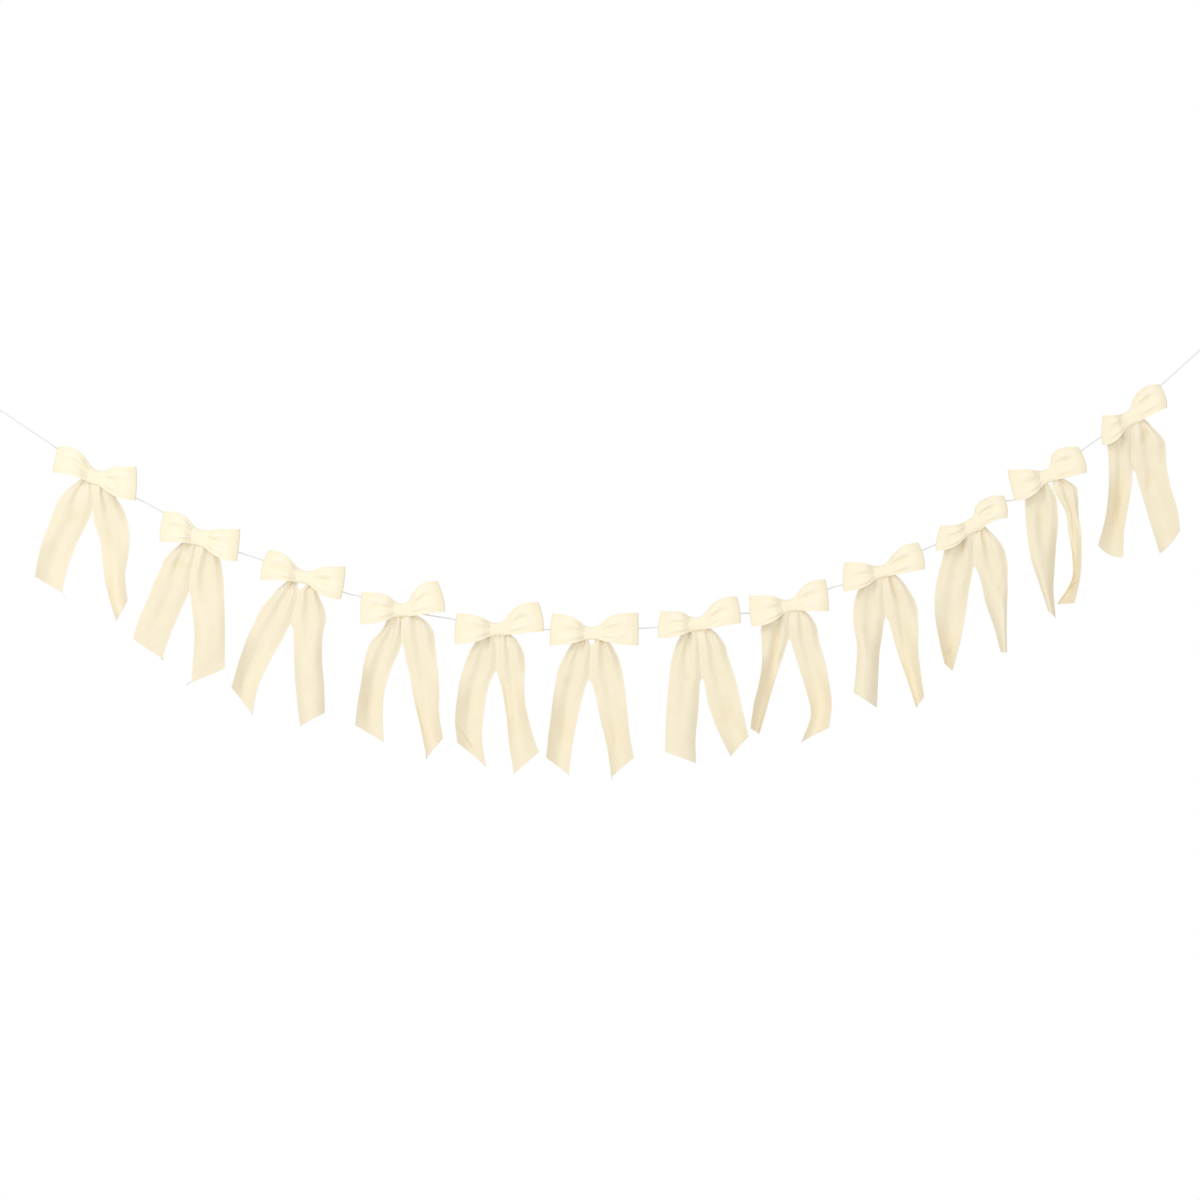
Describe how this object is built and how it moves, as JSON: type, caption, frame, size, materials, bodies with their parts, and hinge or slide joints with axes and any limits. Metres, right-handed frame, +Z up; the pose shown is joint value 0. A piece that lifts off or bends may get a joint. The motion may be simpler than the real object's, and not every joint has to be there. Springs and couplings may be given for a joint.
{
  "type": "bow garland",
  "caption": "Garland of soft velvet ribbon bows with flat loops and long slant-cut tails, strung on a thin cord that ends in two hanging loops.",
  "frame": {"origin": "inner far end of the left hanging loop, where it bears on the hook or pin that holds it", "axes": "+X along the garland from its left end to its right end, +Z up, -Y towards the room and +Y towards the wall"},
  "size_m": [1.8987, 0.0325, 0.6846],
  "materials": {
    "ribbon_loops": "short velvet pile, pale cream",
    "ribbon_tails": "short velvet pile, cream",
    "ribbon_knots": "short velvet pile, pale cream",
    "cord": "twisted, faintly silky, silver white"
  },
  "bodies": {
    "root": {"bow_01_loops": "ribbon_loops", "bow_01_tails": "ribbon_tails", "bow_01_knot": "ribbon_knots", "bow_02_loops": "ribbon_loops", "bow_02_tails": "ribbon_tails", "bow_02_knot": "ribbon_knots", "bow_03_loops": "ribbon_loops", "bow_03_tails": "ribbon_tails", "bow_03_knot": "ribbon_knots", "bow_04_loops": "ribbon_loops", "bow_04_tails": "ribbon_tails", "bow_04_knot": "ribbon_knots", "bow_05_loops": "ribbon_loops", "bow_05_tails": "ribbon_tails", "bow_05_knot": "ribbon_knots", "bow_06_loops": "ribbon_loops", "bow_06_tails": "ribbon_tails", "bow_06_knot": "ribbon_knots", "bow_07_loops": "ribbon_loops", "bow_07_tails": "ribbon_tails", "bow_07_knot": "ribbon_knots", "bow_08_loops": "ribbon_loops", "bow_08_tails": "ribbon_tails", "bow_08_knot": "ribbon_knots", "bow_09_loops": "ribbon_loops", "bow_09_tails": "ribbon_tails", "bow_09_knot": "ribbon_knots", "bow_10_loops": "ribbon_loops", "bow_10_tails": "ribbon_tails", "bow_10_knot": "ribbon_knots", "bow_11_loops": "ribbon_loops", "bow_11_tails": "ribbon_tails", "bow_11_knot": "ribbon_knots", "bow_12_loops": "ribbon_loops", "bow_12_tails": "ribbon_tails", "bow_12_knot": "ribbon_knots", "cord": "cord", "left_hanging_loop": "cord", "right_hanging_loop": "cord"}
  },
  "joints": []
}
